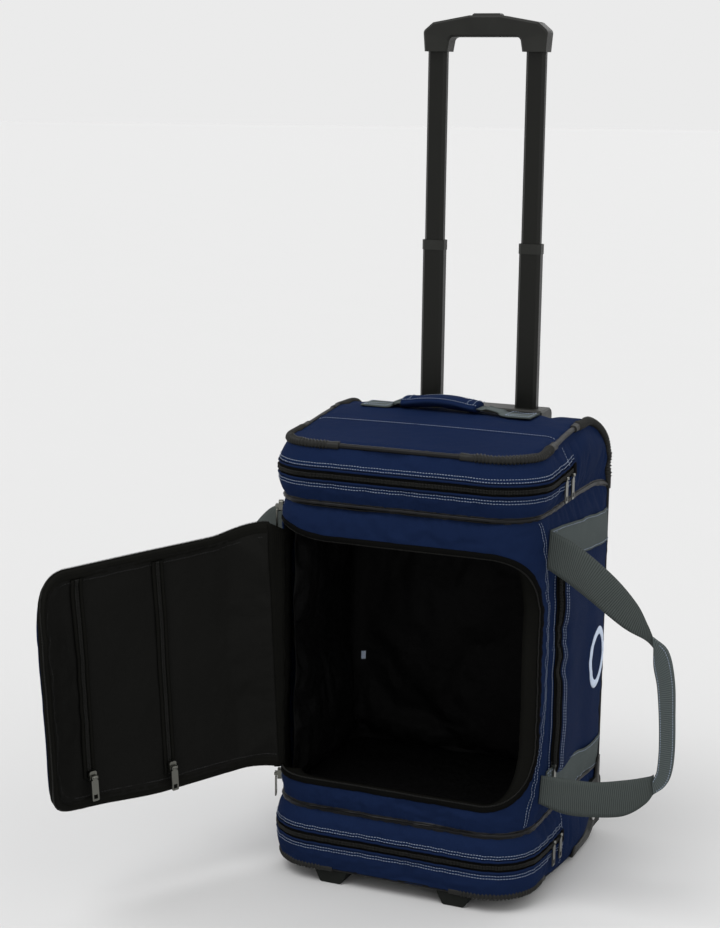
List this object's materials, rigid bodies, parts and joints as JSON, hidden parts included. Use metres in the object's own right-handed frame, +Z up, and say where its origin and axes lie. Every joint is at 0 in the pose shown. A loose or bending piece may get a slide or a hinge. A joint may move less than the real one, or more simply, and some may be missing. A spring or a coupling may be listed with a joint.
{
  "type": "wheeled soft suitcase",
  "caption": "Upright softside wheeled case with end pockets, a front lid hinged on its left side, a two-stage pull handle, side carry loops and zip pulls.",
  "frame": {"origin": "on the floor, under the middle of the box round the whole standing object with its lid open, side handles out and pull handle up", "axes": "+Z up, -Y towards the case's front opening, +X towards the case's right side as seen from the front"},
  "size_m": [0.6356, 0.5606, 1.0085],
  "materials": {
    "navy_fabric": "navy woven polyester, lightly quilted over foam, satin weave sheen",
    "black_lining": "thin black woven lining",
    "webbing": "grey ribbed polypropylene webbing",
    "piping": "black extruded piping",
    "guard_plastic": "black moulded plastic, fine grain",
    "zip_tape": "black zip tape with nylon coil",
    "gunmetal": "gunmetal plated zinc",
    "handle_tube": "black anodised aluminium tube",
    "handle_plastic": "black satin moulded plastic",
    "button_plastic": "black moulded plastic",
    "steel": "zinc plated steel",
    "tyre": "black rubber-like tread",
    "hub_plastic": "dark grey moulded hub",
    "board": "stiff sheet board"
  },
  "bodies": {
    "case": {"top_panel": "navy_fabric", "back_panel": "navy_fabric", "bottom_panel": "navy_fabric", "side_panel_right": "navy_fabric", "side_panel_left": "navy_fabric", "front_panel": "navy_fabric", "upper_pocket_front": "navy_fabric", "lower_pocket_front": "navy_fabric", "compartment_dividers": "black_lining", "back_board": "board", "back_lining": "black_lining", "edge_piping": "piping", "seam_piping": "piping", "corner_guards": "guard_plastic", "webbing_patches": "webbing", "grab_handle_webbing": "webbing", "grab_handle_sleeve": "navy_fabric", "upper_zip": "zip_tape", "lower_zip": "zip_tape", "main_zip": "zip_tape", "side_zip": "zip_tape", "zip_sliders": "gunmetal", "handle_bezel": "handle_plastic", "outer_tubes": "handle_tube", "tube_bracket": "handle_plastic", "wheel_housing_right": "guard_plastic", "wheel_housing_left": "guard_plastic", "axles": "steel", "front_feet": "guard_plastic", "screws": "steel"},
    "lid": {"lid_panel": "navy_fabric", "lid_lining": "black_lining", "lid_zip": "zip_tape", "lid_pocket_zips": "zip_tape"},
    "middle_stage": {"middle_tubes": "handle_tube", "middle_collars": "handle_plastic"},
    "upper_stage": {"upper_tubes": "handle_tube", "latch_plugs": "handle_plastic", "handle_grip": "handle_plastic", "button_spring": "steel"},
    "button": {"push_button": "button_plastic", "release_rods": "steel"},
    "wheel_left": {"tyre_left": "tyre", "hub_left": "hub_plastic"},
    "wheel_right": {"tyre_right": "tyre", "hub_right": "hub_plastic"},
    "carry_left": {"carry_handle_left": "webbing"},
    "carry_right": {"carry_handle_right": "webbing"},
    "side_slider": {"side_slider": "gunmetal"},
    "side_pull": {"side_pull": "gunmetal"},
    "pocket_slider_inner": {"pocket_slider_inner": "gunmetal"},
    "pocket_pull_inner": {"pocket_pull_inner": "gunmetal"},
    "pocket_slider_outer": {"pocket_slider_outer": "gunmetal"},
    "pocket_pull_outer": {"pocket_pull_outer": "gunmetal"},
    "upper_pull_a": {"upper_pull_a": "gunmetal"},
    "upper_pull_b": {"upper_pull_b": "gunmetal"},
    "lower_pull_a": {"lower_pull_a": "gunmetal"},
    "lower_pull_b": {"lower_pull_b": "gunmetal"},
    "main_pull_bottom": {"main_pull_bottom": "gunmetal"},
    "main_pull_top": {"main_pull_top": "gunmetal"}
  },
  "joints": [
    {"name": "lid_hinge", "type": "hinge", "parent": "case", "child": "lid", "pos_m": [-0.15007, 0.00584, 0.126], "axis": [-0.0287, -0.0166, 0.9995], "range_deg": [0, 120]},
    {"name": "handle_stage_one", "type": "slide", "parent": "case", "child": "middle_stage", "axis": [0, 0, 1], "range_m": [-0.185, 0]},
    {"name": "handle_stage_two", "type": "slide", "parent": "middle_stage", "child": "upper_stage", "axis": [0, 0, 1], "range_m": [-0.218, 0]},
    {"name": "button_press", "type": "slide", "parent": "upper_stage", "child": "button", "axis": [0, 0, 1], "range_m": [-0.004, 0], "stiffness_N_per_m": 1500, "springref_m": 0.001, "deforming": ["button_spring"]},
    {"name": "wheel_left_spin", "type": "hinge", "parent": "case", "child": "wheel_left", "pos_m": [-0.1387, 0.24534, 0.032], "axis": [1, 0, 0], "continuous": true},
    {"name": "wheel_right_spin", "type": "hinge", "parent": "case", "child": "wheel_right", "pos_m": [0.1433, 0.24534, 0.032], "axis": [1, 0, 0], "continuous": true},
    {"name": "carry_right_swing", "type": "hinge", "parent": "case", "child": "carry_right", "pos_m": [0.16579, 0.02634, 0.278], "axis": [0, 0, 1], "range_deg": [-60, 55]},
    {"name": "carry_left_swing", "type": "hinge", "parent": "case", "child": "carry_left", "pos_m": [-0.1612, 0.02634, 0.278], "axis": [0, 0, 1], "range_deg": [-44, 50]},
    {"name": "upper_pull_a_swing", "type": "hinge", "parent": "case", "child": "upper_pull_a", "pos_m": [0.1685, 0.07934, 0.491], "axis": [0, -1, 0], "range_deg": [0, 150]},
    {"name": "upper_pull_b_swing", "type": "hinge", "parent": "case", "child": "upper_pull_b", "pos_m": [0.1685, 0.10334, 0.491], "axis": [0, -1, 0], "range_deg": [0, 150]},
    {"name": "lower_pull_a_swing", "type": "hinge", "parent": "case", "child": "lower_pull_a", "pos_m": [0.1685, 0.07734, 0.057], "axis": [0, -1, 0], "range_deg": [0, 150]},
    {"name": "lower_pull_b_swing", "type": "hinge", "parent": "case", "child": "lower_pull_b", "pos_m": [0.1685, 0.10334, 0.057], "axis": [0, -1, 0], "range_deg": [0, 150]},
    {"name": "main_pull_bottom_swing", "type": "hinge", "parent": "case", "child": "main_pull_bottom", "pos_m": [-0.16176, 0.0145, 0.112], "axis": [-0.309, 0.9511, 0], "range_deg": [0, 120]},
    {"name": "main_pull_top_swing", "type": "hinge", "parent": "case", "child": "main_pull_top", "pos_m": [-0.16176, 0.0145, 0.441], "axis": [-0.309, 0.9511, 0], "range_deg": [0, 120]},
    {"name": "side_slider_run", "type": "slide", "parent": "case", "child": "side_slider", "axis": [0, 0, 1], "range_m": [0, 0.215]},
    {"name": "side_pull_swing", "type": "hinge", "parent": "side_slider", "child": "side_pull", "pos_m": [0.17109, 0.06134, 0.158], "axis": [0, -1, 0], "range_deg": [0, 150]},
    {"name": "pocket_slider_inner_run", "type": "slide", "parent": "lid", "child": "pocket_slider_inner", "axis": [-0.0287, -0.0497, 0.9984], "range_m": [0, 0.225]},
    {"name": "pocket_pull_inner_swing", "type": "hinge", "parent": "pocket_slider_inner", "child": "pocket_pull_inner", "pos_m": [-0.23122, -0.11125, 0.14989], "axis": [-0.4988, -0.8648, -0.0574], "range_deg": [0, 150]},
    {"name": "pocket_slider_outer_run", "type": "slide", "parent": "lid", "child": "pocket_slider_outer", "axis": [-0.0287, -0.0497, 0.9984], "range_m": [0, 0.209]},
    {"name": "pocket_pull_outer_swing", "type": "hinge", "parent": "pocket_slider_outer", "child": "pocket_pull_outer", "pos_m": [-0.28305, -0.20112, 0.15995], "axis": [-0.4988, -0.8648, -0.0574], "range_deg": [0, 150]}
  ]
}
